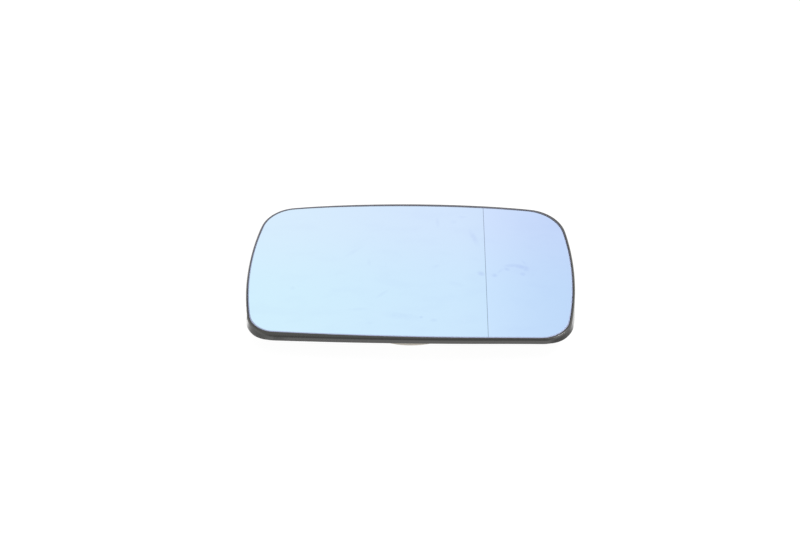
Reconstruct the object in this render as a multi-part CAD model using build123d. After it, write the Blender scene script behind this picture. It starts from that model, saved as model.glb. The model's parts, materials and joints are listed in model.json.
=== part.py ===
from build123d import *
import math
import os

# Heated door mirror glass for the right-hand side of a car, in millimetres.
# A convex glass is bonded by its heater mat into a moulded carrier, and a lock ring behind
# the carrier turns to grip the adjuster inside the mirror housing.
# The ring's foot lies on Z = 0 and the ring turns about the Z axis. +Z points out of the
# glass, +X outboard, away from the car, and +Y up.

# Mirror surface: a spherical main zone and a tighter outboard zone, tangent at a dividing line
MAIN_RADIUS = 1300.0
OUTBOARD_RADIUS = 600.0
DIVIDE_X = 37.5
DIVIDE_WIDTH = 0.3
DIVIDE_DEPTH = 0.08

# Glass outline: the length, height and middle of the box round the points where its bowed edges would
# meet, how far those points lie inside that box, the bows and the corner radii
GLASS_LENGTH = 153.1
GLASS_HEIGHT = 91.3
GLASS_MIDDLE_X = -1.3
GLASS_MIDDLE_Y = 0.35
TOP_INBOARD_SLANT = 6.05
TOP_OUTBOARD_SLANT = 0.35
TOP_OUTBOARD_DROP = 1.7
BOTTOM_INBOARD_RISE = 4.6
TOP_BOW = 2.4
OUTBOARD_BOW = 5.9
BOTTOM_BOW = 3.95
INBOARD_BOW = 6.0
TOP_INBOARD_ROUND = 17.5
TOP_OUTBOARD_ROUND = 19.0
BOTTOM_OUTBOARD_ROUND = 16.4
BOTTOM_INBOARD_ROUND = 14.0

# Glass and heater mat
GLASS_THICKNESS = 1.9
GLASS_BEVEL = 0.6
MAT_THICKNESS = 0.3
MAT_INSET = 3.0
ADHESIVE_FILM = 0.05

# Carrier tray: its floor, and the lip round the glass with its width at each edge
FLOOR_THICKNESS = 1.6
POCKET_CLEARANCE = 0.2
LIP_PROUD = 0.2
LIP_TOP_INBOARD = 0.6
LIP_TOP_OUTBOARD = 1.05
LIP_TOP_CROWN = 0.5
LIP_OUTBOARD = 1.2
LIP_BOTTOM_OUTBOARD = 1.3
LIP_BOTTOM_INBOARD = 3.3
LIP_BOTTOM_DIP = 0.45
LIP_INBOARD = 0.95
LIP_CORNER_GAINS = (0.6, 0.0, 0.0, 1.2)
LIP_ROUND = 1.0
BACK_CHAMFER = 1.1

# Lock ring: a bearing band that runs on the carrier's collar, a wall, a foot and outer teeth
RING_HEIGHT = 10.6
RING_BORE = 31.0
RING_WALL = 2.4
FOOT_THICKNESS = 2.6
FOOT_FLANGE = 2.0
FOOT_CHAMFER = 0.3
BAND_HEIGHT = 2.8
HOOK_RECESS = 2.2
TOOTH_COUNT = 48
TOOTH_HEIGHT = 3.2
TOOTH_STEP = 1.0
TOOTH_DEPTH = 1.6
TOOTH_BASE = 2.4
TOOTH_TIP = 1.3
LUG_COUNT = 4
LUG_REACH = 4.5
LUG_THICKNESS = 2.2
LUG_LIFT = 0.4
LUG_ANGLE = 22.0
LUG_RAMP_ANGLE = 12.0
LUG_RAMP_RISE = 1.0
TAB_REACH = 3.4
TAB_ANGLE = 8.0
TAB_DIRECTION = 150.0
TURN_ANGLE = 25.0

# Carrier features that hold and stop the ring
RING_PLAY = 0.25
SEAT_DEPTH = 2.25
SEAT_WIDTH = 1.8
COLLAR_THICKNESS = 2.0
HOOK_COUNT = 4
HOOK_ANGLE = 20.0
HOOK_SLOT_ANGLE = 3.0
HOOK_TIP_CLEARANCE = 1.0
HOOK_THICKNESS = 1.6
HOOK_LEAD = 1.1
STOP_ANGLE = 5.0
STOP_GAP_ANGLE = 0.6
STOP_DEPTH = 2.4
STOP_CLEARANCE = 0.7

# Carrier socket for the adjuster's centre pin, and stiffening ribs, as depths behind the floor
SOCKET_BORE = 9.0
SOCKET_WALL = 1.8
SOCKET_DEPTH = 6.6
SOCKET_PAD = 0.2
INNER_RIB_COUNT = 8
INNER_RIB_DEPTH = 5.6
RIB_THICKNESS = 1.4
RIB_DEPTH = 3.9
RIB_EDGE_INSET = 6.0
HOOP_RADIUS = 57.0
SPOKE_COUNT = 12
SWEEP_CLEARANCE = 1.5
ROOT_OVERLAP = 0.2

# Heater terminals and the windows they stand in
TERMINAL_GAP = 8.9
TERMINAL_SPACING = 11.2
TERMINAL_FOOT_LENGTH = 7.0
BLADE_WIDTH = 6.3
BLADE_THICKNESS = 0.8
BLADE_DEPTH = 8.1
BLADE_TIP_CHAMFER = 1.2
BLADE_HOLE_RADIUS = 0.8
BLADE_HOLE_FROM_TIP = 3.2
WINDOW_CLEARANCE = 0.5
WINDOW_RIB = 1.2

# Oversize reach of the blanks that outlines are cut from, and the tolerance on where an edge lies
BLANK_REACH = 100.0
EDGE_TOLERANCE = 0.01

# Depths behind the glass front, with an adhesive film on both faces of the mat
MAT_FRONT_DEPTH = GLASS_THICKNESS + ADHESIVE_FILM
MAT_BACK_DEPTH = MAT_FRONT_DEPTH + MAT_THICKNESS
FLOOR_DEPTH = MAT_BACK_DEPTH + ADHESIVE_FILM
BACK_DEPTH = FLOOR_DEPTH + FLOOR_THICKNESS

# Heights
SEAT_Z = RING_HEIGHT + RING_PLAY
BACK_Z = SEAT_Z + SEAT_DEPTH
ROOT_Z = BACK_Z + ROOT_OVERLAP
FRONT_Z = BACK_Z + BACK_DEPTH
AXIS_Z = FRONT_Z - MAIN_RADIUS
BAND_Z = RING_HEIGHT - BAND_HEIGHT
TEETH_Z = RING_HEIGHT - TOOTH_HEIGHT
HOOK_Z = BAND_Z - RING_PLAY
HOOK_FOOT_Z = HOOK_Z - HOOK_THICKNESS
STOP_FOOT_Z = RING_HEIGHT - STOP_DEPTH

# Radii about the ring's axis
RECESS_RADIUS = RING_BORE + HOOK_RECESS
WALL_RADIUS = RECESS_RADIUS + RING_WALL
FOOT_RADIUS = WALL_RADIUS + FOOT_FLANGE
TOOTH_ROOT_RADIUS = WALL_RADIUS + TOOTH_STEP
TOOTH_TIP_RADIUS = TOOTH_ROOT_RADIUS + TOOTH_DEPTH
TAB_RADIUS = TOOTH_TIP_RADIUS + TAB_REACH
SWEEP_RADIUS = TAB_RADIUS + SWEEP_CLEARANCE
COLLAR_RADIUS = RING_BORE - RING_PLAY
COLLAR_BORE = COLLAR_RADIUS - COLLAR_THICKNESS
HOOK_RADIUS = RECESS_RADIUS - HOOK_TIP_CLEARANCE

# Terminal windows, inboard of the ring
WINDOW_LENGTH = TERMINAL_FOOT_LENGTH + 2 * WINDOW_CLEARANCE
WINDOW_WIDTH = BLADE_WIDTH + 2 * WINDOW_CLEARANCE
TERMINAL_X = -(SWEEP_RADIUS + TERMINAL_GAP + WINDOW_LENGTH / 2)

# Outlines, from the top inboard corner clockwise
GLASS_INBOARD_X = GLASS_MIDDLE_X - GLASS_LENGTH / 2
GLASS_OUTBOARD_X = GLASS_MIDDLE_X + GLASS_LENGTH / 2
GLASS_BOTTOM_Y = GLASS_MIDDLE_Y - GLASS_HEIGHT / 2
GLASS_TOP_Y = GLASS_MIDDLE_Y + GLASS_HEIGHT / 2
GLASS_CORNERS = (
    (GLASS_INBOARD_X + TOP_INBOARD_SLANT, GLASS_TOP_Y),
    (GLASS_OUTBOARD_X - TOP_OUTBOARD_SLANT, GLASS_TOP_Y - TOP_OUTBOARD_DROP),
    (GLASS_OUTBOARD_X, GLASS_BOTTOM_Y),
    (GLASS_INBOARD_X, GLASS_BOTTOM_Y + BOTTOM_INBOARD_RISE),
)
GLASS_BOWS = (TOP_BOW, OUTBOARD_BOW, BOTTOM_BOW, INBOARD_BOW)
GLASS_ROUNDS = (TOP_INBOARD_ROUND, TOP_OUTBOARD_ROUND, BOTTOM_OUTBOARD_ROUND, BOTTOM_INBOARD_ROUND)
CORNER_LIPS = (
    (-LIP_INBOARD, LIP_TOP_INBOARD),
    (LIP_OUTBOARD, LIP_TOP_OUTBOARD),
    (LIP_OUTBOARD, -LIP_BOTTOM_OUTBOARD),
    (-LIP_INBOARD, -LIP_BOTTOM_INBOARD),
)
CARRIER_CORNERS = [(x + dx, y + dy) for (x, y), (dx, dy) in zip(GLASS_CORNERS, CORNER_LIPS)]
CARRIER_BOWS = (TOP_BOW + LIP_TOP_CROWN, OUTBOARD_BOW, BOTTOM_BOW - LIP_BOTTOM_DIP, INBOARD_BOW)
CARRIER_ROUNDS = [radius + gain for radius, gain in zip(GLASS_ROUNDS, LIP_CORNER_GAINS)]


def crossing(first, second, near):
    """Where two circles, each a centre and a radius, cross nearest to a point."""
    (centre_a, radius_a), (centre_b, radius_b) = first, second
    across = centre_b - centre_a
    along = (radius_a**2 - radius_b**2 + across.length**2) / (2 * across.length)
    rise = math.sqrt(radius_a**2 - along**2)
    unit = across.normalized()
    foot = centre_a + unit * along
    side = Vector(-unit.Y, unit.X) * rise
    return min((foot + side, foot - side), key=lambda p: (p - near).length)


def bowed_outline(corners, bows, rounds, grow):
    """Face inside four bowed edges with rounded corners, grown outwards by a margin."""
    points = [Vector(*corner) for corner in corners]
    circles = []
    crests = []
    for i, bow in enumerate(bows):
        chord = points[(i + 1) % len(points)] - points[i]
        outward = Vector(-chord.Y, chord.X).normalized()
        radius = chord.length**2 / (8 * bow) + bow / 2
        centre = points[i] + chord * 0.5 + outward * (bow - radius)
        circles.append((centre, radius + grow))
        crests.append(centre + outward * (radius + grow))
    points = [crossing(circles[i - 1], circles[i], point) for i, point in enumerate(points)]
    ends = points[1:] + points[:1]
    face = make_face([ThreePointArc(a, crest, b) for a, crest, b in zip(points, crests, ends)])
    for point, radius in zip(points, rounds):
        face = fillet(face.vertices().sort_by_distance(point)[0], radius + grow)
    return face


def glass_outline(grow=0.0):
    return bowed_outline(GLASS_CORNERS, GLASS_BOWS, GLASS_ROUNDS, grow)


def carrier_outline(grow=0.0):
    return bowed_outline(CARRIER_CORNERS, CARRIER_BOWS, CARRIER_ROUNDS, grow)


def zone_arc(centre, radius, start, end):
    """Arc of the mirror's lengthwise section between two angles from upright."""
    spots = []
    for angle in (start, (start + end) / 2, end):
        spots.append(centre + Vector(math.sin(angle), 0, math.cos(angle)) * radius)
    return ThreePointArc(*spots)


def shell(front_depth, back_depth):
    """Slab that follows the mirror surface between two depths behind the glass front."""
    divide = math.asin(DIVIDE_X / MAIN_RADIUS)
    inboard = -BLANK_REACH / MAIN_RADIUS
    outboard = divide + (BLANK_REACH - DIVIDE_X) / OUTBOARD_RADIUS
    main_centre = Vector(0, 0, AXIS_Z)
    normal = Vector(math.sin(divide), 0, math.cos(divide))
    outboard_centre = main_centre + normal * (MAIN_RADIUS - OUTBOARD_RADIUS)
    edges = []
    for depth in (front_depth, back_depth):
        edges.append(zone_arc(main_centre, MAIN_RADIUS - depth, inboard, divide))
        edges.append(zone_arc(outboard_centre, OUTBOARD_RADIUS - depth, divide, outboard))
    edges.append(Line(edges[0] @ 0, edges[2] @ 0))
    edges.append(Line(edges[1] @ 1, edges[3] @ 1))
    axis = Axis((0, 0, AXIS_Z), (1, 0, 0))
    half_turn = math.degrees(BLANK_REACH / MAIN_RADIUS)
    return revolve(make_face(edges).rotate(axis, -half_turn), axis, 2 * half_turn)


def depth_behind_front(point):
    """How far a point lies behind the mirror's front surface."""
    divide = math.asin(DIVIDE_X / MAIN_RADIUS)
    rise = math.hypot(point.Y, point.Z - AXIS_Z)
    if math.atan2(point.X, rise) <= divide:
        return MAIN_RADIUS - math.hypot(point.X, rise)
    gap = MAIN_RADIUS - OUTBOARD_RADIUS
    return OUTBOARD_RADIUS - math.hypot(point.X - gap * math.sin(divide), rise - gap * math.cos(divide))


def rim_edges(solid, depth):
    """Edges round a slab's outline at one depth, without the seam between the two mirror zones."""
    edges = []
    for edge in solid.edges():
        spots = [edge @ 0, edge @ 0.5, edge @ 1]
        level = all(abs(depth_behind_front(p) - depth) < EDGE_TOLERANCE for p in spots)
        seam = max(p.X for p in spots) - min(p.X for p in spots) < EDGE_TOLERANCE
        if level and not seam:
            edges.append(edge)
    return edges


def facet_leg(radius, turn):
    """Leg of a chamfer whose facet touches a round in the middle of a corner of this turn."""
    half = math.radians(turn / 2)
    return radius * (math.tan(half) - math.tan(half / 2))


def upright(face, bottom, top):
    """Prism on a flat outline between two heights."""
    return extrude(Pos(0, 0, bottom) * face, top - bottom)


def column(face):
    """Prism on a flat outline through the whole height of the part."""
    return upright(face, 0, FRONT_Z + BLANK_REACH)


def ring_sector(points, angle, direction):
    """Section of radius and height points turned about Z by an angle, centred on a direction."""
    section = make_face(Polyline(*[(r, 0, z) for r, z in points], close=True))
    return Rot(0, 0, direction - angle / 2) * revolve(section, Axis.Z, angle)


def box_section(inner, outer, bottom, top):
    """Corner points of a plain ring section."""
    return [(inner, bottom), (outer, bottom), (outer, top), (inner, top)]


def around(count, first=0.0):
    """Evenly spaced directions about Z."""
    return [first + i * 360.0 / count for i in range(count)]


def make_glass():
    """Convex glass with a ground edge and an engraved line between its two zones."""
    glass = column(glass_outline()) & shell(0, GLASS_THICKNESS)
    glass = chamfer(rim_edges(glass, 0), GLASS_BEVEL)
    line = column(Pos(DIVIDE_X, 0) * Rectangle(DIVIDE_WIDTH, 2 * BLANK_REACH))
    return glass - (line & shell(-DIVIDE_DEPTH, DIVIDE_DEPTH))


def make_heater_mat():
    """Heating film, glued between the glass and the carrier's floor."""
    return column(glass_outline(-MAT_INSET)) & shell(MAT_FRONT_DEPTH, MAT_BACK_DEPTH)


def make_terminal(y):
    """Flat foot on the mat's back with a blade bent off the end nearer the ring."""
    foot = column(Pos(TERMINAL_X, y) * Rectangle(TERMINAL_FOOT_LENGTH, BLADE_WIDTH))
    foot = foot & shell(FLOOR_DEPTH, FLOOR_DEPTH + BLADE_THICKNESS)
    half = BLADE_WIDTH / 2
    tip_half = half - BLADE_TIP_CHAMFER
    tip_z = BACK_Z - BLADE_DEPTH
    shoulder_z = tip_z + BLADE_TIP_CHAMFER
    blade = make_face(Polyline(
        (y - half, FRONT_Z),
        (y - half, shoulder_z),
        (y - tip_half, tip_z),
        (y + tip_half, tip_z),
        (y + half, shoulder_z),
        (y + half, FRONT_Z),
        close=True,
    ))
    blade -= Pos(y, tip_z + BLADE_HOLE_FROM_TIP) * Circle(BLADE_HOLE_RADIUS)
    blade_x = TERMINAL_X + TERMINAL_FOOT_LENGTH / 2 - BLADE_THICKNESS
    blade = Pos(blade_x, 0, 0) * extrude(Plane.YZ * blade, BLADE_THICKNESS)
    return foot + (blade & shell(FLOOR_DEPTH, FLOOR_DEPTH + BLANK_REACH))


def make_tray():
    """Curved carrier floor with a pocket for the glass and a lip eased by three facets."""
    tray = column(carrier_outline()) & shell(-LIP_PROUD, BACK_DEPTH)
    facet = facet_leg(LIP_ROUND, 90)
    tray = chamfer(rim_edges(tray, -LIP_PROUD), facet)
    shoulders = rim_edges(tray, -LIP_PROUD) + rim_edges(tray, facet - LIP_PROUD)
    tray = chamfer(shoulders, facet_leg(LIP_ROUND, 45))
    tray = chamfer(rim_edges(tray, BACK_DEPTH), BACK_CHAMFER)
    return tray - (column(glass_outline(POCKET_CLEARANCE)) & shell(-2 * LIP_PROUD, FLOOR_DEPTH))


def spoke(inner, outer, direction):
    """Flat outline of a radial rib between two radii."""
    bar = Pos((inner + outer) / 2, 0) * Rectangle(outer - inner, RIB_THICKNESS)
    return Rot(0, 0, direction) * bar


def make_back_ribs():
    """Spokes, a hoop, an edge rib and a frame round the terminal windows, clear of the ring's sweep."""
    inset = carrier_outline(-RIB_EDGE_INSET)
    edge_rib = inset - carrier_outline(-RIB_EDGE_INSET - RIB_THICKNESS)
    hoop = Circle(HOOP_RADIUS + RIB_THICKNESS / 2) - Circle(HOOP_RADIUS - RIB_THICKNESS / 2)
    spokes = [spoke(COLLAR_RADIUS, BLANK_REACH, a) for a in around(SPOKE_COUNT, 180.0 / SPOKE_COUNT)]
    frame_width = TERMINAL_SPACING + WINDOW_WIDTH
    frame_inner = Pos(TERMINAL_X, 0) * Rectangle(WINDOW_LENGTH, frame_width)
    frame_outer = Pos(TERMINAL_X, 0) * Rectangle(WINDOW_LENGTH + 2 * WINDOW_RIB, frame_width + 2 * WINDOW_RIB)
    pattern = ((hoop + spokes) & inset) + edge_rib + frame_outer - frame_inner
    ribs = upright(pattern, BACK_Z - RIB_DEPTH, FRONT_Z)
    ribs = ribs & shell(FLOOR_DEPTH + FLOOR_THICKNESS / 2, FLOOR_DEPTH + BLANK_REACH)
    return ribs - upright(Circle(SWEEP_RADIUS), 0, SEAT_Z)


def make_ring_holders():
    """Running seat, bearing collar, snap hooks and turn stops for the lock ring."""
    seat = box_section(RECESS_RADIUS, RECESS_RADIUS + SEAT_WIDTH, SEAT_Z, ROOT_Z)
    bearing = box_section(COLLAR_BORE, COLLAR_RADIUS, BAND_Z, ROOT_Z)
    bearing_angle = 360.0 / HOOK_COUNT - HOOK_ANGLE - 2 * HOOK_SLOT_ANGLE
    hook = [
        (COLLAR_BORE, ROOT_Z),
        (COLLAR_BORE, HOOK_FOOT_Z),
        (COLLAR_RADIUS, HOOK_FOOT_Z),
        (HOOK_RADIUS, HOOK_FOOT_Z + HOOK_LEAD),
        (HOOK_RADIUS, HOOK_Z),
        (COLLAR_RADIUS, HOOK_Z),
        (COLLAR_RADIUS, ROOT_Z),
    ]
    stop = box_section(TOOTH_TIP_RADIUS + STOP_CLEARANCE, TAB_RADIUS, STOP_FOOT_Z, ROOT_Z)
    stop_offset = TAB_ANGLE / 2 + STOP_GAP_ANGLE + STOP_ANGLE / 2
    holders = [ring_sector(seat, 360, 0)]
    holders += [ring_sector(bearing, bearing_angle, a) for a in around(HOOK_COUNT)]
    holders += [ring_sector(hook, HOOK_ANGLE, a) for a in around(HOOK_COUNT, 180.0 / HOOK_COUNT)]
    holders.append(ring_sector(stop, STOP_ANGLE, TAB_DIRECTION - stop_offset))
    holders.append(ring_sector(stop, STOP_ANGLE, TAB_DIRECTION + TURN_ANGLE + stop_offset))
    return holders


def make_socket():
    """Centre socket for the adjuster's pin, with ribs out to the bearing collar."""
    outer = SOCKET_BORE + SOCKET_WALL
    wall = box_section(SOCKET_BORE, outer, BACK_Z - SOCKET_DEPTH, ROOT_Z)
    socket = [ring_sector(wall, 360, 0), upright(Circle(outer), BACK_Z - SOCKET_PAD, ROOT_Z)]
    for direction in around(INNER_RIB_COUNT, 180.0 / INNER_RIB_COUNT):
        rib = spoke(outer - SOCKET_WALL / 2, COLLAR_BORE + COLLAR_THICKNESS / 2, direction)
        socket.append(upright(rib, BACK_Z - INNER_RIB_DEPTH, ROOT_Z))
    return socket


def make_carrier():
    """One black moulding: the tray, its back ribs and all that holds the lock ring."""
    carrier = make_tray() + [make_back_ribs(), *make_ring_holders(), *make_socket()]
    for side in (-1, 1):
        window = Pos(TERMINAL_X, side * TERMINAL_SPACING / 2) * Rectangle(WINDOW_LENGTH, WINDOW_WIDTH)
        carrier -= column(window)
    return carrier


def make_lug(direction):
    """Inward bayonet lug with a lead-in ramp on its locking side."""
    inner = RING_BORE - LUG_REACH
    outer = RECESS_RADIUS + RING_WALL / 2
    top = LUG_LIFT + LUG_THICKNESS
    lug = ring_sector(box_section(inner, outer, LUG_LIFT, top), LUG_ANGLE, direction)
    ramp_ends = []
    for angle, height in ((0, top), (LUG_RAMP_ANGLE, top - LUG_RAMP_RISE)):
        corners = [(r, 0, z) for r, z in box_section(inner, outer, LUG_LIFT, height)]
        face = make_face(Polyline(*corners, close=True))
        ramp_ends.append(Rot(0, 0, direction + LUG_ANGLE / 2 + angle) * face)
    return lug + loft(ramp_ends)


def make_tooth():
    """Flat outline of one tapered tooth, rooted in the ring's wall."""
    return make_face(Polyline(
        (WALL_RADIUS, -TOOTH_BASE / 2),
        (TOOTH_ROOT_RADIUS, -TOOTH_BASE / 2),
        (TOOTH_TIP_RADIUS, -TOOTH_TIP / 2),
        (TOOTH_TIP_RADIUS, TOOTH_TIP / 2),
        (TOOTH_ROOT_RADIUS, TOOTH_BASE / 2),
        (WALL_RADIUS, TOOTH_BASE / 2),
        close=True,
    ))


def make_lock_ring():
    """Turning ring with a toothed band for a tool, bayonet lugs inside and a tab that meets the stops."""
    section = [
        (RECESS_RADIUS, 0),
        (FOOT_RADIUS - FOOT_CHAMFER, 0),
        (FOOT_RADIUS, FOOT_CHAMFER),
        (FOOT_RADIUS, FOOT_THICKNESS),
        (WALL_RADIUS, FOOT_THICKNESS),
        (WALL_RADIUS, RING_HEIGHT),
        (RING_BORE, RING_HEIGHT),
        (RING_BORE, BAND_Z),
        (RECESS_RADIUS, BAND_Z),
    ]
    band = Circle(TOOTH_ROOT_RADIUS) + [Rot(0, 0, a) * make_tooth() for a in around(TOOTH_COUNT)]
    band -= Circle(WALL_RADIUS - RING_WALL / 2)
    tab = box_section(TOOTH_ROOT_RADIUS, TAB_RADIUS, TEETH_Z, RING_HEIGHT)
    ring = ring_sector(section, 360, 0) + upright(band, TEETH_Z, RING_HEIGHT)
    ring += ring_sector(tab, TAB_ANGLE, TAB_DIRECTION)
    return ring + [make_lug(a) for a in around(LUG_COUNT, 180.0 / LUG_COUNT)]


PARTS = {
    "mirror_glass": make_glass(),
    "heater_mat": make_heater_mat(),
    "heater_terminal_upper": make_terminal(TERMINAL_SPACING / 2),
    "heater_terminal_lower": make_terminal(-TERMINAL_SPACING / 2),
    "carrier_plate": make_carrier(),
    "lock_ring": make_lock_ring(),
}

os.makedirs("parts", exist_ok=True)
for name, part in PARTS.items():
    export_step(part, f"parts/{name}.step")
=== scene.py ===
import json
import math

import bpy
from mathutils import Euler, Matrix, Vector


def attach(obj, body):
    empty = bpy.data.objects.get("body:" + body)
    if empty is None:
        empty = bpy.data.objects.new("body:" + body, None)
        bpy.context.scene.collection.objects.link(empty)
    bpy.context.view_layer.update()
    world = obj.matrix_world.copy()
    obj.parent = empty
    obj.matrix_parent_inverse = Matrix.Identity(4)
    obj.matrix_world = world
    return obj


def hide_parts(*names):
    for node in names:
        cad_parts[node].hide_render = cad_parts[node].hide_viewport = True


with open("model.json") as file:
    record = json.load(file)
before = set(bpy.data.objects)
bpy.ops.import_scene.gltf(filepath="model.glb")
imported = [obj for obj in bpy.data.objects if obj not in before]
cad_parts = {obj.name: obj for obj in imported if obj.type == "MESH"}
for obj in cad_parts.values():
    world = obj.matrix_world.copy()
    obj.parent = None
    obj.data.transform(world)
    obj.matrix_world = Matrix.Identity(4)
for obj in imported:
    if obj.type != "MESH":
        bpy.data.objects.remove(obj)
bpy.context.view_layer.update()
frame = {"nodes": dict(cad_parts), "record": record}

# Lengths below are in millimetres and angles in degrees, in the part's frame: +X outboard, +Y up the
# glass and +Z out of it
MM = 0.001

# Camera, solved from the photograph
CAMERA_PLACE = (-5.42, -777.8, 769.3)
CAMERA_ELEVATION = 44.0
CAMERA_SIGHT = 20000.0
LENS = 97.2
SENSOR = 36.0

# Lamps: a soft box overhead and a small one at the side
SOFT_BOX_PLACE = (0.0, 0.0, 1500.0)
SOFT_BOX_SIZE = (1300.0, 1000.0)
SOFT_BOX_WATTS = 7.0
SIDE_LAMP_PLACE = (850.0, 250.0, 1150.0)
SIDE_LAMP_SIZE = (180.0, 280.0)
SIDE_LAMP_WATTS = 8.0

# White surround: its fill light, and the sides that it has in soft gloss alone, dark behind the camera and
# low at each end and light low behind the inboard end: direction, level, and the angles from that
# direction at which the side starts and is full
WHITE = (1.0, 1.0, 1.0, 1.0)
SURROUND_FILL = 0.7
SURROUND_SIDES = (
    ((0.0, -0.72, 0.69), 0.3, 60.0, 15.0),
    ((0.7, 0.0, -0.7), 0.3, 40.0, 18.0),
    ((-0.7, -0.15, -0.7), 0.55, 36.0, 16.0),
    ((-0.3, 0.65, -0.7), 1.8, 28.0, 8.0),
)

# Floor
FLOOR_REACH = 6000.0
FLOOR_GLOW = 0.955
FLOOR_COLOUR = (0.1, 0.1, 0.1, 1.0)

# Mirror front: its height on the axis, the radii of its main and outboard zones, and the line between them
FRONT_HEIGHT = 17.0
MAIN_RADIUS = 1300.0
OUTBOARD_RADIUS = 600.0
DIVIDE_X = 37.5
DIVIDE_WIDTH = 0.3

# Lip of the carrier: the depth behind the mirror front that holds it, how far it draws in at the lower
# inboard corner, and the least rise of the normals that shade as a round with the turn between them
LIP_DEPTH = 0.75
CORNER_DRAW = 0.6
ROUND_RISE = 0.3
ROUND_TURN = 30.0

# Wall of the carrier: the depths behind the mirror front that hold its foot, how far the foot hangs lower
# as a skirt round the ends, how far the edge inside it moves out, and the turns of the wall over which
# both grow
FOOT_DEPTHS = (2.5, 3.5)
SKIRT_DROP = 1.3
SKIRT_OUT = 0.6
SKIRT_TURNS = (15.0, 50.0)

# Flare of that skirt: how far inboard and outboard, and the turns of the wall and the y over which it grows
INBOARD_FLARE = 0.35
OUTBOARD_FLARE = 0.75
FLARE_TURNS = (52.0, 80.0)
FLARE_REACH = (-15.0, -31.0)

# Decimals to which places in metres and normals are rounded where they are compared
PLACE_DECIMALS = 6
NORMAL_DECIMALS = 2

# Bands and levels that the finishes share, of which the last is the band that noise mostly fills
UNIT = (0.0, 1.0)
FALLING = (1.0, 0.0)
NOISE_BAND = (0.3, 0.7)

# Blue mirror: the reach of its colour drift along and up the glass, which is a painted reflection of a
# backdrop dimmer outboard and of the coat's shift of hue with angle, its colours, and the rise of the
# normals from its ground edge to its front
GLASS_REACH = 80.0
GLASS_RISE = 47.0
INBOARD_BLUE = (0.648, 0.868, 0.993, 1.0)
MIDDLE_BLUE = (0.612, 0.806, 0.99, 1.0)
OUTBOARD_BLUE = (0.53, 0.712, 0.945, 1.0)
UPPER_TINT = (1.06, 0.975, 1.0, 1.0)
OUTBOARD_TINT = (1.0, 0.99, 1.015, 1.0)
LINE_TINT = (0.5, 0.5, 0.52, 1.0)
SMEAR_TINT = (0.88, 0.88, 0.955, 1.0)
# Ground edge: its own grey with the coat's blue added as a painted reflection
EDGE_BLUE = (0.5, 0.57, 0.8, 1.0)
EDGE_ROUGHNESS = 0.45
FRONT_RISES = (0.86, 0.96)

# Smears on the glass: the radii over which a patch fades and its depth along Z, the noise band and levels
# that break the patches up, and the noise band and levels of the wiped haze between them
PATCH_FADE = (0.1, 1.1)
PATCH_DEPTH = 6000.0
BREAK_BAND = (0.3, 0.6)
BREAK_LEVELS = (0.65, 1.0)
HAZE_BAND = (0.45, 0.75)
HAZE_LEVELS = (0.0, 0.16)

# Finger smears: middle, half length, half width, direction and strength
SMEARS = (
    ((35.1, -3.4), 2.8, 2.2, -30.0, 1.0),
    ((41.8, -4.4), 2.1, 1.9, 0.0, 0.9),
    ((45.0, -1.0), 3.6, 1.3, 50.0, 0.4),
    ((48.2, 0.4), 2.4, 1.7, -30.0, 0.8),
    ((50.5, 3.0), 5.0, 1.9, 10.0, 0.7),
    ((55.0, 2.4), 5.2, 2.1, -14.0, 1.0),
    ((57.8, 1.3), 2.3, 2.7, 0.0, 1.0),
    ((57.0, 5.6), 3.4, 1.0, -60.0, 0.4),
    ((56.1, -2.7), 2.0, 1.8, 0.0, 0.8),
    ((32.0, 23.5), 8.2, 2.2, -72.5, 0.65),
    ((13.8, 34.6), 5.5, 1.4, -88.0, 0.35),
    ((26.4, 38.7), 3.0, 1.4, 0.0, 0.4),
    ((21.8, 34.7), 2.4, 2.0, 0.0, 0.3),
    ((-28.9, 12.5), 7.5, 1.8, 42.0, 0.3),
    ((-21.0, 4.5), 1.4, 3.6, 0.0, 0.25),
    ((-14.3, -18.1), 5.5, 1.3, 41.0, 0.35),
    ((22.4, -11.0), 5.5, 2.4, -15.0, 0.25),
    ((12.5, 1.4), 3.0, 1.8, 20.0, 0.3),
    ((-25.6, -28.3), 7.0, 1.4, 0.0, 0.3),
    ((-4.7, -33.2), 12.0, 3.4, -11.0, 0.4),
    ((4.9, -34.0), 1.3, 1.3, 0.0, 0.8),
    ((11.2, -36.0), 2.6, 1.6, 0.0, 0.45),
    ((-20.6, -37.8), 3.4, 1.2, 0.0, 0.3),
    ((-58.6, -12.8), 1.8, 1.8, 0.0, 0.3),
)

# Black plastic: its colours and roughness, the rise of the normals over which its polish ends, the facing
# and the depths behind the mirror front over which dust lies in the pocket, and the coat under that dust
DEEP_BLACK = (0.026, 0.025, 0.022, 1.0)
PALE_BLACK = (0.038, 0.037, 0.033, 1.0)
DUST_GREY = (0.30, 0.29, 0.29, 1.0)
BLACK_ROUGHNESS = (0.24, 0.34)
POLISH_RISES = (0.78, 0.96)
DUST_FACING = (-0.3, -0.8)
DUST_DEPTHS = (3.1, 2.6)
DUST_COAT = 0.1

# Ivory plastic: its colours and roughness, and how deep red, green and blue light enter it
DEEP_IVORY = (0.68, 0.63, 0.54, 1.0)
PALE_IVORY = (0.78, 0.73, 0.64, 1.0)
IVORY_ROUGHNESS = (0.42, 0.55)
IVORY_DEPTHS = (2.0, 1.6, 1.2)

# Terminal brass: its colours and roughness, and the noise band over which it tarnishes
DEEP_BRASS = (0.78, 0.60, 0.28, 1.0)
PALE_BRASS = (0.86, 0.70, 0.38, 1.0)
TARNISH = (0.52, 0.38, 0.17, 1.0)
TARNISH_BAND = (0.45, 0.7)
BRASS_ROUGHNESS = (0.24, 0.4)

# Heater film: the pitch of its tracks, the wave levels at their edges, its colours and its roughness
TRACK_PITCH = 3.2
TRACK_EDGES = (-0.1, 0.25)
FILM_BROWN = (0.13, 0.095, 0.07, 1.0)
TRACK_BLACK = (0.045, 0.043, 0.042, 1.0)
FILM_ROUGHNESS = (0.55, 0.36)

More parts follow.
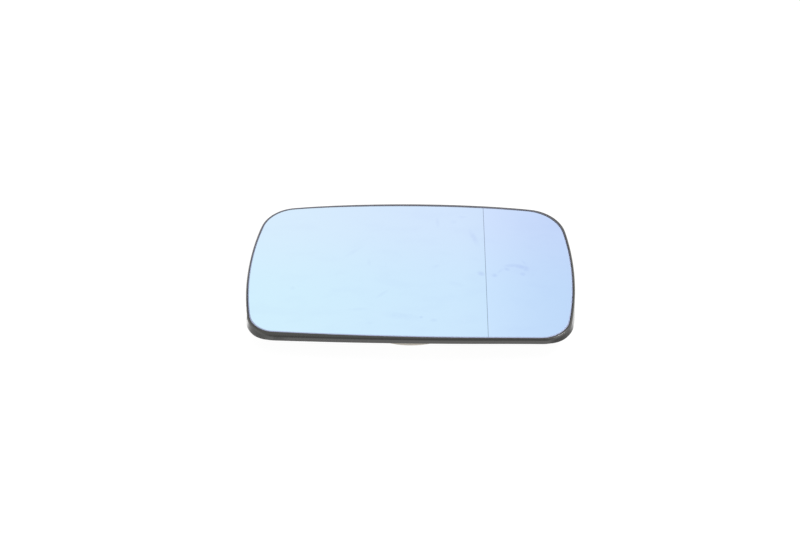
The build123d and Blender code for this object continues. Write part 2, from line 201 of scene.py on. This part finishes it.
# Sockets of the colour mix node: share, first and second colour, and its result
MIX_INPUTS = (0, 6, 7)
MIX_RESULT = 2


class Graph:
    """A node tree under way: each method adds a node and returns its output."""

    def __init__(self, tree):
        self.tree = tree

    def node(self, kind, **settings):
        """A new node itself, with these settings."""
        made = self.tree.nodes.new(kind)
        for name, value in settings.items():
            setattr(made, name, value)
        return made

    def feed(self, socket, value):
        """Links an output to a socket, or sets the socket to a constant."""
        if isinstance(value, bpy.types.NodeSocket):
            self.tree.links.new(value, socket)
        else:
            socket.default_value = value

    def parts(self, vector):
        """The X, Y and Z of a vector."""
        split = self.node("ShaderNodeSeparateXYZ")
        self.feed(split.inputs["Vector"], vector)
        return split.outputs

    def vector_math(self, operation, first, second=(0.0, 0.0, 0.0), output="Vector"):
        made = self.node("ShaderNodeVectorMath", operation=operation)
        self.feed(made.inputs[0], first)
        self.feed(made.inputs[1], second)
        return made.outputs[output]

    def math(self, operation, first, second=0.0):
        made = self.node("ShaderNodeMath", operation=operation)
        self.feed(made.inputs[0], first)
        self.feed(made.inputs[1], second)
        return made.outputs["Value"]

    def shader_pair(self, kind, first, second):
        """The node that adds or mixes two shaders."""
        made = self.node(kind)
        self.feed(made.inputs[-2], first)
        self.feed(made.inputs[-1], second)
        return made

    def ease(self, value, band=UNIT, levels=UNIT):
        """Smooth step of a value over a band, from the first of two levels to the second."""
        made = self.node("ShaderNodeMapRange", interpolation_type="SMOOTHSTEP")
        sockets = ("Value", "From Min", "From Max", "To Min", "To Max")
        for name, setting in zip(sockets, (value, *band, *levels)):
            self.feed(made.inputs[name], setting)
        return made.outputs["Result"]


class Finish(Graph):
    """A material on the standard shader, with places on the part in millimetres."""

    def __init__(self, name):
        self.material = bpy.data.materials.new(name)
        self.material.use_nodes = True
        super().__init__(self.material.node_tree)
        self.shader = self.tree.nodes["Principled BSDF"]
        coordinates = self.node("ShaderNodeTexCoord")
        self.normal = coordinates.outputs["Normal"]
        per_metre = (1 / MM, 1 / MM, 1 / MM)
        self.place = self.vector_math("MULTIPLY", coordinates.outputs["Object"], per_metre)
        self.x, self.y, self.z = self.parts(self.place)
        self.rise = self.parts(self.normal)[2]

    def set(self, **values):
        """Feeds the shader's sockets, named with underscores for spaces."""
        for name, value in values.items():
            self.feed(self.shader.inputs[name.replace("_", " ")], value)

    def mix(self, share, first, second, blend="MIX"):
        """Mix of two colours."""
        made = self.node("ShaderNodeMix", data_type="RGBA", blend_type=blend)
        for socket, value in zip(MIX_INPUTS, (share, first, second)):
            self.feed(made.inputs[socket], value)
        return made.outputs[MIX_RESULT]

    def noise(self, size, detail=2.0, stretch=(1.0, 1.0, 1.0)):
        """Noise with features of about this size, stretched along the axes."""
        made = self.node("ShaderNodeTexNoise")
        sizes = [size * share for share in stretch]
        self.feed(made.inputs["Vector"], self.vector_math("DIVIDE", self.place, sizes))
        self.feed(made.inputs["Scale"], 1.0)
        self.feed(made.inputs["Detail"], detail)
        return made.outputs["Fac"]

    def patch(self, middle, half_length, half_width, direction):
        """Soft elliptical patch on the XY plane, 1 in its middle and 0 at its edge."""
        made = self.node("ShaderNodeMapping", vector_type="TEXTURE")
        self.feed(made.inputs["Vector"], self.place)
        self.feed(made.inputs["Location"], (*middle, 0.0))
        self.feed(made.inputs["Rotation"], (0.0, 0.0, math.radians(direction)))
        self.feed(made.inputs["Scale"], (half_length, half_width, PATCH_DEPTH))
        radius = self.vector_math("LENGTH", made.outputs["Vector"], output="Value")
        return self.ease(radius, PATCH_FADE, FALLING)

    def bump(self, height, strength, depth):
        """Relief of this depth from a height between 0 and 1."""
        made = self.node("ShaderNodeBump")
        self.feed(made.inputs["Height"], height)
        self.feed(made.inputs["Strength"], strength)
        self.feed(made.inputs["Distance"], depth * MM)
        self.set(Normal=made.outputs["Normal"])


def smears_on(finish):
    """Finger smears with a broken edge, over a faint wiped haze."""
    smear = 0.0
    for middle, half_length, half_width, direction, strength in SMEARS:
        patch = finish.patch(middle, half_length, half_width, direction)
        smear = finish.math("MAXIMUM", smear, finish.math("MULTIPLY", patch, strength))
    breaks = finish.ease(finish.noise(size=2.2, detail=4.0), BREAK_BAND, BREAK_LEVELS)
    wipes = finish.noise(size=9.0, detail=3.0, stretch=(2.0, 1.0, 1.0))
    haze = finish.ease(wipes, HAZE_BAND, HAZE_LEVELS)
    return finish.math("MAXIMUM", finish.math("MULTIPLY", smear, breaks), haze)


def blue_mirror():
    """Reflecting blue coat with a painted reflection drifting along and up it, an engraved line, finger
    smears and a ground edge whose blue is a painted reflection of the coat.
    """
    finish = Finish("blue_mirror")
    # Painted reflection: the colour drifts by place, dimmer and bluer outboard and more violet up the glass
    tint_and_reflection = finish.mix(finish.ease(finish.x, (-GLASS_REACH, DIVIDE_X)), INBOARD_BLUE, MIDDLE_BLUE)
    tint_and_reflection = finish.mix(finish.ease(finish.x, (DIVIDE_X / 2, GLASS_REACH)), tint_and_reflection, OUTBOARD_BLUE)
    outboard = finish.math("GREATER_THAN", finish.x, DIVIDE_X)
    tint_and_reflection = finish.mix(outboard, tint_and_reflection, OUTBOARD_TINT, "MULTIPLY")
    upper = finish.ease(finish.y, (-GLASS_RISE / 2, GLASS_RISE))
    tint_and_reflection = finish.mix(upper, tint_and_reflection, UPPER_TINT, "MULTIPLY")
    tint_and_reflection = finish.mix(smears_on(finish), tint_and_reflection, SMEAR_TINT, "MULTIPLY")
    off_line = finish.math("ABSOLUTE", finish.math("SUBTRACT", finish.x, DIVIDE_X))
    in_line = finish.math("LESS_THAN", off_line, DIVIDE_WIDTH / 2)
    tint_and_reflection = finish.mix(in_line, tint_and_reflection, LINE_TINT, "MULTIPLY")
    front = finish.ease(finish.rise, FRONT_RISES)
    finish.set(
        # Ground edge colour carries a painted reflection of the coat's blue
        Base_Color=finish.mix(front, EDGE_BLUE, tint_and_reflection),
        Metallic=front,
        Roughness=finish.ease(front, levels=(EDGE_ROUGHNESS, 0.0)),
    )
    return finish.material


def dust_in_pocket(finish):
    """Dust on the carrier's inner wall, beside the edge of the glass."""
    level_place = finish.vector_math("MULTIPLY", finish.place, (1.0, 1.0, 0.0))
    outward = finish.vector_math("NORMALIZE", level_place)
    facing_out = finish.vector_math("DOT_PRODUCT", finish.normal, outward, "Value")
    reach = finish.vector_math("LENGTH", level_place, output="Value")
    fall = finish.math("DIVIDE", finish.math("MULTIPLY", reach, reach), 2 * MAIN_RADIUS)
    depth = finish.math("SUBTRACT", FRONT_HEIGHT, finish.math("ADD", finish.z, fall))
    facing_in = finish.ease(facing_out, DUST_FACING)
    return finish.math("MULTIPLY", facing_in, finish.ease(depth, DUST_DEPTHS))


def black_plastic():
    """Satin moulded plastic with faint flow clouds, a fine eroded grain and dust in its pocket."""
    finish = Finish("black_plastic")
    clouds = finish.noise(size=14.0, detail=3.0, stretch=(2.5, 1.0, 1.0))
    grain = finish.noise(size=0.22)
    dust = dust_in_pocket(finish)
    polish = finish.ease(finish.rise, POLISH_RISES, FALLING)
    clean_coat = finish.ease(dust, levels=(1.0, DUST_COAT))
    finish.set(
        Base_Color=finish.mix(dust, finish.mix(clouds, DEEP_BLACK, PALE_BLACK), DUST_GREY),
        Roughness=finish.ease(grain, NOISE_BAND, BLACK_ROUGHNESS),
        Coat_Weight=finish.math("MULTIPLY", clean_coat, polish),
        Coat_Roughness=0.12,
        Sheen_Weight=0.15,
        Sheen_Roughness=0.25,
        # Warm sheen tint: a painted reflection of a warm floor beside the wall's ends
        Sheen_Tint=(1.0, 0.95, 0.84, 1.0),
    )
    finish.bump(grain, strength=0.04, depth=0.02)
    return finish.material


def ivory_plastic():
    """Natural moulded plastic with slight mottling."""
    finish = Finish("ivory_plastic")
    clouds = finish.noise(size=9.0, detail=3.0)
    finish.set(
        Base_Color=finish.mix(clouds, DEEP_IVORY, PALE_IVORY),
        Roughness=finish.ease(finish.noise(size=0.5), NOISE_BAND, IVORY_ROUGHNESS),
        Subsurface_Weight=0.08,
        Subsurface_Radius=[depth * MM for depth in IVORY_DEPTHS],
    )
    finish.bump(finish.noise(size=0.4), strength=0.15, depth=0.02)
    return finish.material


def terminal_brass():
    """Stamped brass with drawn streaks and light tarnish."""
    finish = Finish("terminal_brass")
    streaks = finish.noise(size=0.5, detail=3.0, stretch=(0.25, 1.0, 6.0))
    tarnish = finish.ease(finish.noise(size=2.2, detail=3.0), TARNISH_BAND)
    finish.set(
        Base_Color=finish.mix(tarnish, finish.mix(streaks, DEEP_BRASS, PALE_BRASS), TARNISH),
        Metallic=1.0,
        Roughness=finish.ease(streaks, NOISE_BAND, BRASS_ROUGHNESS),
    )
    finish.bump(streaks, strength=0.2, depth=0.02)
    return finish.material


def heater_film():
    """Dark film with printed conductor tracks."""
    finish = Finish("heater_film")
    wave = finish.math("SINE", finish.math("MULTIPLY", finish.y, 2 * math.pi / TRACK_PITCH))
    track = finish.ease(wave, TRACK_EDGES)
    finish.set(
        Base_Color=finish.mix(track, FILM_BROWN, TRACK_BLACK),
        Roughness=finish.ease(track, levels=FILM_ROUGHNESS),
    )
    finish.bump(track, strength=0.4, depth=0.03)
    return finish.material


FINISHES = {
    "blue_mirror": blue_mirror,
    "black_plastic": black_plastic,
    "ivory_plastic": ivory_plastic,
    "terminal_brass": terminal_brass,
    "heater_film": heater_film,
}


def dress_nodes():
    """Gives every CAD node the finish of its slot in the record."""
    made = {slot: finish() for slot, finish in FINISHES.items()}
    for subpart in frame["record"]["subparts"]:
        frame["nodes"][subpart["node"]].material_slots[0].material = made[subpart["material_slot"]]


def depth_behind_front(place):
    """How far a place on the part, in metres, lies below the mirror front."""
    x, y, z = place / MM
    outboard = max(x - DIVIDE_X, 0.0)
    main_fall = (x**2 + y**2) / (2 * MAIN_RADIUS)
    outboard_fall = outboard**2 / 2 * (1 / OUTBOARD_RADIUS - 1 / MAIN_RADIUS)
    return FRONT_HEIGHT - main_fall - outboard_fall - z


def ramp(value, start, end):
    """Share of the way from start to end, held between 0 and 1."""
    return min(max((value - start) / (end - start), 0.0), 1.0)


def rounded_normals(mesh, spots):
    """Corner normals, averaged where faces that look up meet within a shallow turn."""
    upward = {}
    for corner, normal in zip(mesh.loops, mesh.corner_normals):
        if normal.vector.z > ROUND_RISE:
            met = upward.setdefault(spots[corner.vertex_index], set())
            met.add(normal.vector.to_tuple(NORMAL_DECIMALS))
    shallow = math.cos(math.radians(ROUND_TURN))
    rounded = []
    for corner, normal in zip(mesh.loops, mesh.corner_normals):
        if normal.vector.z > ROUND_RISE:
            met = [Vector(other) for other in upward[spots[corner.vertex_index]]]
            near = [other for other in met if other.dot(normal.vector) > shallow]
            rounded.append(sum(near, Vector()).normalized())
        else:
            rounded.append(normal.vector.copy())
    return rounded


def outward_sides(mesh, spots, chosen):
    """Level direction that the chosen spots face, summed over the faces which meet there."""
    sides = {}
    for corner, normal in zip(mesh.loops, mesh.corner_normals):
        spot = spots[corner.vertex_index]
        if spot in chosen:
            sides[spot] = sides.get(spot, Vector((0.0, 0.0))) + normal.vector.xy
    return {spot: side.normalized() for spot, side in sides.items()}


def carrier_edges(mesh, spots):
    """Spots on the carrier's lip, on the foot of its wall, and on the faces that meet at that foot."""
    depths = {spot: depth_behind_front(vertex.co) for vertex, spot in zip(mesh.vertices, spots)}
    nearest, farthest = FOOT_DEPTHS
    lip = {spot for spot, depth in depths.items() if depth < LIP_DEPTH}
    foot = {spot for spot, depth in depths.items() if nearest < depth < farthest}
    under = set()
    for face in mesh.polygons:
        corners = {spots[corner] for corner in face.vertices}
        if not foot.isdisjoint(corners):
            under |= {spot for spot in corners if depths[spot] > nearest}
    return lip, foot, under


def mould_carrier():
    """Carrier with a round lip, a skirt round its ends and a drawn-in lower inboard corner."""
    mesh = frame["nodes"]["carrier_plate"].data.copy()
    spots = [vertex.co.to_tuple(PLACE_DECIMALS) for vertex in mesh.vertices]
    lip, foot, under = carrier_edges(mesh, spots)
    sides = outward_sides(mesh, spots, lip | under)
    for vertex, spot in zip(mesh.vertices, spots):
        if spot not in sides or sides[spot].dot(vertex.co.xy) < 0:
            continue
        side = sides[spot]
        turn = math.degrees(math.asin(min(abs(side.x), 1.0)))
        skirt = ramp(turn, *SKIRT_TURNS)
        flare = ramp(turn, *FLARE_TURNS) * ramp(vertex.co.y / MM, *FLARE_REACH)
        flare *= INBOARD_FLARE if side.x < 0 else OUTBOARD_FLARE
        if spot in foot:
            vertex.co.xy += side * flare * MM
            vertex.co.z -= skirt * SKIRT_DROP * MM
        elif spot in under:
            vertex.co.xy += side * (flare + skirt * SKIRT_OUT) * MM
        elif side.x < 0 and side.y < 0:
            vertex.co.xy -= side * 2 * side.x * side.y * CORNER_DRAW * MM
    mesh.normals_split_custom_set(rounded_normals(mesh, spots))
    carrier = bpy.data.objects.new("carrier_moulding", mesh)
    bpy.context.scene.collection.objects.link(carrier)
    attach(carrier, "mirror")
    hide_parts("carrier_plate")


def place_camera():
    """Camera that looks down on the part as the photograph does."""
    data = bpy.data.cameras.new("camera")
    data.sensor_width = SENSOR
    data.lens = LENS
    data.clip_end = CAMERA_SIGHT * MM
    camera = bpy.data.objects.new("camera", data)
    camera.location = Vector(CAMERA_PLACE) * MM
    camera.rotation_euler = Euler((math.radians(90 - CAMERA_ELEVATION), 0.0, 0.0))
    bpy.context.scene.collection.objects.link(camera)
    bpy.context.scene.camera = camera


def light_surround():
    """White surround, full white where it is seen or mirrored, with its sides in soft gloss."""
    world = bpy.data.worlds.new("surround")
    bpy.context.scene.world = world
    world.use_nodes = True
    graph = Graph(world.node_tree)
    path = graph.node("ShaderNodeLightPath").outputs
    direction = graph.node("ShaderNodeTexCoord").outputs["Generated"]
    gloss_level = 1.0
    for towards, side_level, *edges in SURROUND_SIDES:
        nearness = graph.vector_math("DOT_PRODUCT", direction, Vector(towards).normalized(), "Value")
        band = [math.cos(math.radians(edge)) for edge in edges]
        side = graph.ease(nearness, band, (1.0, side_level))
        gloss_level = graph.math("MULTIPLY", gloss_level, side)
    gloss_level = graph.math("MAXIMUM", gloss_level, path["Is Singular Ray"])
    reflected = graph.math("MAXIMUM", path["Is Glossy Ray"], path["Is Transmission Ray"])
    level = graph.ease(reflected, levels=(SURROUND_FILL, gloss_level))
    background = graph.tree.nodes["Background"].inputs
    background["Color"].default_value = WHITE
    graph.feed(background["Strength"], graph.ease(path["Is Camera Ray"], levels=(level, 1.0)))


def hang_lamp(name, place, size, watts, in_gloss=True):
    """Rectangular soft lamp that faces the part, and shows in gloss or not."""
    data = bpy.data.lights.new(name, "AREA")
    data.shape = "RECTANGLE"
    data.size, data.size_y = (side * MM for side in size)
    data.energy = watts
    lamp = bpy.data.objects.new(name, data)
    lamp.location = Vector(place) * MM
    lamp.rotation_euler = lamp.location.to_track_quat("Z", "Y").to_euler()
    lamp.visible_camera = False
    lamp.visible_glossy = in_gloss
    bpy.context.scene.collection.objects.link(lamp)


def floor_paint():
    """Glowing white that takes a shadow and can be looked through from below."""
    material = bpy.data.materials.new("floor")
    material.use_nodes = True
    graph = Graph(material.node_tree)
    graph.tree.nodes.clear()
    paint = graph.node("ShaderNodeBsdfDiffuse")
    paint.inputs["Color"].default_value = FLOOR_COLOUR
    glow = graph.node("ShaderNodeEmission")
    glow.inputs["Strength"].default_value = FLOOR_GLOW
    lit = graph.shader_pair("ShaderNodeAddShader", paint.outputs[0], glow.outputs[0])
    clear = graph.node("ShaderNodeBsdfTransparent")
    shown = graph.shader_pair("ShaderNodeMixShader", lit.outputs[0], clear.outputs[0])
    graph.feed(shown.inputs["Fac"], graph.node("ShaderNodeNewGeometry").outputs["Backfacing"])
    graph.feed(graph.node("ShaderNodeOutputMaterial").inputs["Surface"], shown.outputs[0])
    return material


def lay_floor():
    """White floor that keeps the object's shadow."""
    mesh = bpy.data.meshes.new("floor")
    reach = FLOOR_REACH * MM
    corners = [(-reach, -reach, 0.0), (reach, -reach, 0.0), (reach, reach, 0.0), (-reach, reach, 0.0)]
    mesh.from_pydata(corners, [], [(0, 1, 2, 3)])
    mesh.materials.append(floor_paint())
    floor = bpy.data.objects.new("floor", mesh)
    floor.visible_diffuse = False
    floor.visible_glossy = False
    bpy.context.scene.collection.objects.link(floor)


dress_nodes()
mould_carrier()
place_camera()
light_surround()
hang_lamp("soft_box", SOFT_BOX_PLACE, SOFT_BOX_SIZE, SOFT_BOX_WATTS, in_gloss=False)
hang_lamp("side_lamp", SIDE_LAMP_PLACE, SIDE_LAMP_SIZE, SIDE_LAMP_WATTS)
lay_floor()
bpy.context.scene.view_settings.view_transform = "Standard"
